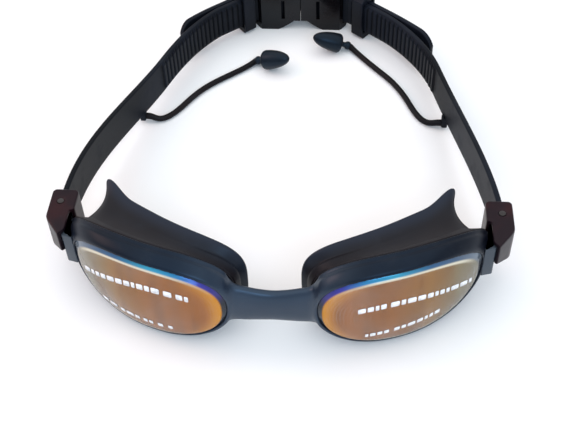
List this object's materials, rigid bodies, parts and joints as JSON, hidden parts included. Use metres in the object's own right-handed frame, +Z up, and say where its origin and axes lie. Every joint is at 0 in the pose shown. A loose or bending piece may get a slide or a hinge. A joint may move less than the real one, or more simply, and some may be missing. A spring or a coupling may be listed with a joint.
{
  "type": "swim goggles",
  "caption": "Wrap-around swim goggles: curved tinted lenses in a soft frame with a moulded nose bridge, flared gaskets, side clips, ribbed half-straps with ear-plug cords and a rear clasp.",
  "frame": {"origin": "on the surface the goggles stand on, under the middle of the whole object's plan box", "axes": "+X to the wearer's left and the viewer's right when looking at the goggles from the front, +Y from the lenses to the rear clasp, +Z up as worn"},
  "size_m": [0.166, 0.1935, 0.041],
  "materials": {
    "lens": "amber mirrored polycarbonate",
    "protective_film": "clear film with a faint white print",
    "frame_silicone": "satin",
    "gasket_silicone": "soft satin",
    "strap_silicone": "satin, ribbed",
    "keeper_silicone": "satin",
    "cord_silicone": "satin",
    "plug_silicone": "soft satin",
    "clip_plastic": "semi-gloss",
    "clasp_plastic": "semi-gloss",
    "pin_steel": "satin"
  },
  "bodies": {
    "goggles": {"frame": "frame_silicone", "left_lens": "lens", "right_lens": "lens", "left_lens_film": "protective_film", "right_lens_film": "protective_film", "left_gasket": "gasket_silicone", "right_gasket": "gasket_silicone", "left_side_clip": "clip_plastic", "right_side_clip": "clip_plastic", "left_hinge_pin": "pin_steel", "right_hinge_pin": "pin_steel"},
    "left_half_strap": {"left_strap": "strap_silicone", "left_clasp_socket": "clasp_plastic", "left_earplug_cord": "cord_silicone", "left_earplug": "plug_silicone"},
    "right_half_strap": {"right_strap": "strap_silicone", "right_clasp_tongue": "clasp_plastic", "right_earplug_cord": "cord_silicone", "right_earplug": "plug_silicone"},
    "left_keeper_band": {"left_keeper": "keeper_silicone"},
    "right_keeper_band": {"right_keeper": "keeper_silicone"}
  },
  "joints": [
    {"name": "left_strap_swing", "type": "hinge", "parent": "goggles", "child": "left_half_strap", "pos_m": [-0.079, -0.0554, 0.021], "axis": [0, 0, 1], "range_deg": [0, 20]},
    {"name": "right_strap_swing", "type": "hinge", "parent": "goggles", "child": "right_half_strap", "pos_m": [0.079, -0.0554, 0.021], "axis": [0, 0, 1], "range_deg": [-20, 0]},
    {"name": "left_keeper_slide", "type": "slide", "parent": "left_half_strap", "child": "left_keeper_band", "axis": [0.7752, 0.6317, 0], "range_m": [-0.0075, 0.0003]},
    {"name": "right_keeper_slide", "type": "slide", "parent": "right_half_strap", "child": "right_keeper_band", "axis": [-0.7752, 0.6317, 0], "range_m": [-0.005, 0.0015]}
  ],
  "couplings": [
    {"joint": "right_strap_swing", "follows": "left_strap_swing", "ratio": -1}
  ]
}
